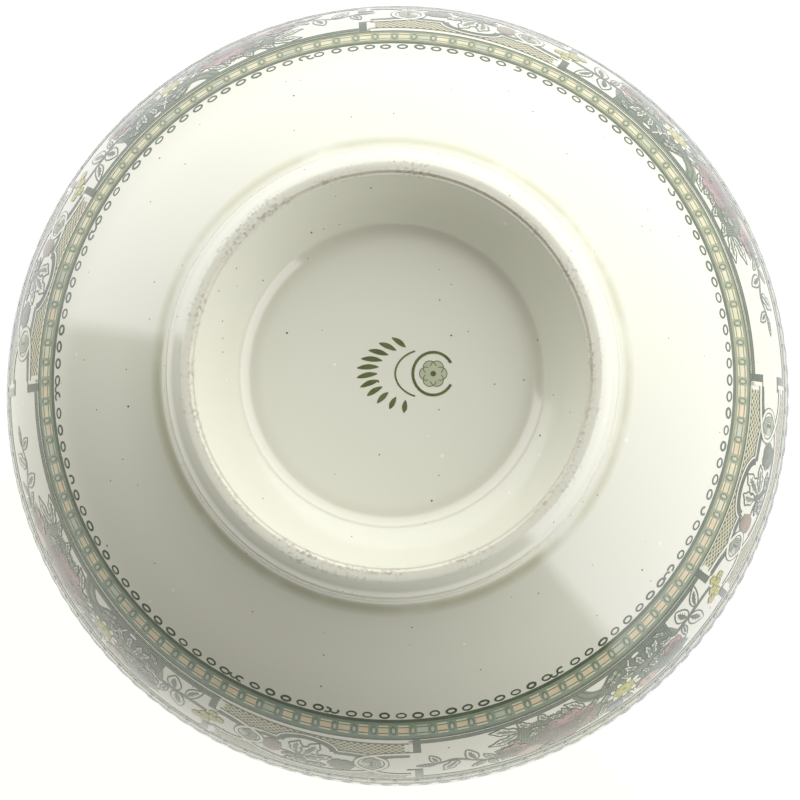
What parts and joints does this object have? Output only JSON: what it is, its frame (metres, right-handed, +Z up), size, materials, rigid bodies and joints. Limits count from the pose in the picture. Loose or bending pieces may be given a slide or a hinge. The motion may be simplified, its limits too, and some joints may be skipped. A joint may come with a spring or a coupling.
{
  "type": "serving bowl",
  "caption": "Round footed glazed serving bowl with a rolled lip, a bead row, chain borders and a floral and lattice printed frieze round the outside.",
  "frame": {"origin": "centre of the foot ring's bottom face, where the bowl stands", "axes": "+Z up out of the bowl's mouth; +X towards the start of frieze sheet 1"},
  "size_m": [0.24, 0.24, 0.0935],
  "materials": {
    "biscuit": "unglazed, fine grained, scuffed",
    "glaze": "glossy clear glaze over cream-white clay",
    "border_print": "grey-green printed ink with painted teal and peach, under the gloss",
    "frieze_print": "grey-green printed ink with painted rose, yellow and lilac, under the gloss",
    "mark_print": "olive-green printed ink"
  },
  "bodies": {
    "root": {"bowl_body": "biscuit", "foot_ring": "biscuit", "outer_glaze": "glaze", "inner_glaze": "glaze", "foot_well_glaze": "glaze", "bead_border": "border_print", "chain_border": "border_print", "frieze_sheet_1": "frieze_print", "frieze_sheet_2": "frieze_print", "frieze_sheet_3": "frieze_print", "frieze_sheet_4": "frieze_print", "upper_chain_border": "border_print", "back_mark": "mark_print"}
  },
  "joints": []
}
